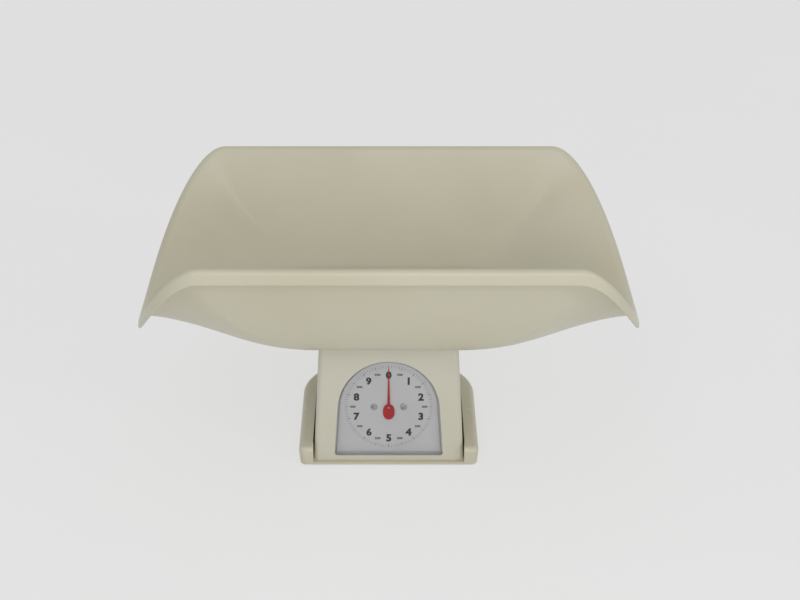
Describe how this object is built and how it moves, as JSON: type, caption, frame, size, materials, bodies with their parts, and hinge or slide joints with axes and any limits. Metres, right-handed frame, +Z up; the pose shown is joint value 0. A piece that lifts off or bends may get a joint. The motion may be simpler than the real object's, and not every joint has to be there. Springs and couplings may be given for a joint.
{
  "type": "baby weighing scale",
  "caption": "Dial baby scale: open cradle tray on a spring platform over a tapered housing with an arched dial window and a hollow-rimmed base",
  "frame": {"origin": "On the ground under the middle of the tray", "axes": "+Z up, the dial faces -Y, +X to the right of the dial along the tray's length"},
  "size_m": [0.5496, 0.3142, 0.2782],
  "materials": {
    "ivory_plastic": "glossy moulded ivory plastic",
    "clear_plastic": "clear moulded plastic",
    "dial_white": "satin white print",
    "red_paint": "satin red",
    "rubber": "matte",
    "dark_plastic": "fine matte",
    "brass": "turned",
    "plated_steel": "bright zinc plate",
    "spring_steel": "drawn wire",
    "sheet_steel": "zinc plated sheet"
  },
  "bodies": {
    "scale_housing": {"base_tub": "ivory_plastic", "rubber_feet": "rubber", "tower_casing": "ivory_plastic", "casing_screws": "plated_steel", "dial_lens": "clear_plastic", "dial_plate": "dial_white", "dial_screws": "plated_steel", "movement_bracket": "sheet_steel", "bracket_screws": "plated_steel", "arbor_bushes": "brass", "chassis_frame": "sheet_steel", "chassis_screws": "plated_steel", "lever_pivot_pins": "plated_steel", "main_springs": "spring_steel"},
    "tray_carriage": {"baby_tray": "ivory_plastic", "platform_plate": "sheet_steel", "tray_screws": "plated_steel", "carriage_frame": "sheet_steel", "carriage_pins": "plated_steel", "rack": "sheet_steel", "rack_rivets": "plated_steel"},
    "pointer_assembly": {"pointer": "red_paint", "pointer_arbor": "plated_steel", "pinion": "brass"},
    "upper_guide": {"upper_lever": "sheet_steel"},
    "lower_guide": {"lower_lever": "sheet_steel"},
    "zero_wheel": {"zero_knob": "dark_plastic", "zero_screw": "plated_steel"},
    "hanger": {"spring_hanger": "sheet_steel"}
  },
  "joints": [
    {"name": "tray_travel", "type": "slide", "parent": "scale_housing", "child": "tray_carriage", "axis": [0, 0, -1], "range_m": [0, 0.01152], "stiffness_N_per_m": 8500, "springref_m": -0.002, "deforming": ["main_springs"]},
    {"name": "pointer_spin", "type": "hinge", "parent": "scale_housing", "child": "pointer_assembly", "pos_m": [0, -0.04453, 0.05788], "axis": [0, 0.9816, -0.1908], "range_deg": [0, 360.01]},
    {"name": "upper_lever_swing", "type": "hinge", "parent": "scale_housing", "child": "upper_guide", "pos_m": [0, 0.042, 0.09], "axis": [1, 0, 0], "range_deg": [0, 13.16]},
    {"name": "lower_lever_swing", "type": "hinge", "parent": "scale_housing", "child": "lower_guide", "pos_m": [0, 0.042, 0.044], "axis": [1, 0, 0], "range_deg": [0, 13.16]},
    {"name": "zero_turn", "type": "hinge", "parent": "scale_housing", "child": "zero_wheel", "pos_m": [0, 0.0536, 0.1175], "axis": [0, 0, 1], "range_deg": [-360, 360]},
    {"name": "hanger_lift", "type": "slide", "parent": "scale_housing", "child": "hanger", "axis": [0, 0, 1], "range_m": [-0.0007, 0.0007]}
  ],
  "couplings": [
    {"joint": "pointer_spin", "follows": "tray_travel", "rad_per_m": 545.35},
    {"joint": "upper_lever_swing", "follows": "tray_travel", "rad_per_m": 19.912},
    {"joint": "lower_lever_swing", "follows": "tray_travel", "rad_per_m": 19.912},
    {"joint": "zero_turn", "follows": "hanger_lift", "rad_per_m": 8976}
  ]
}
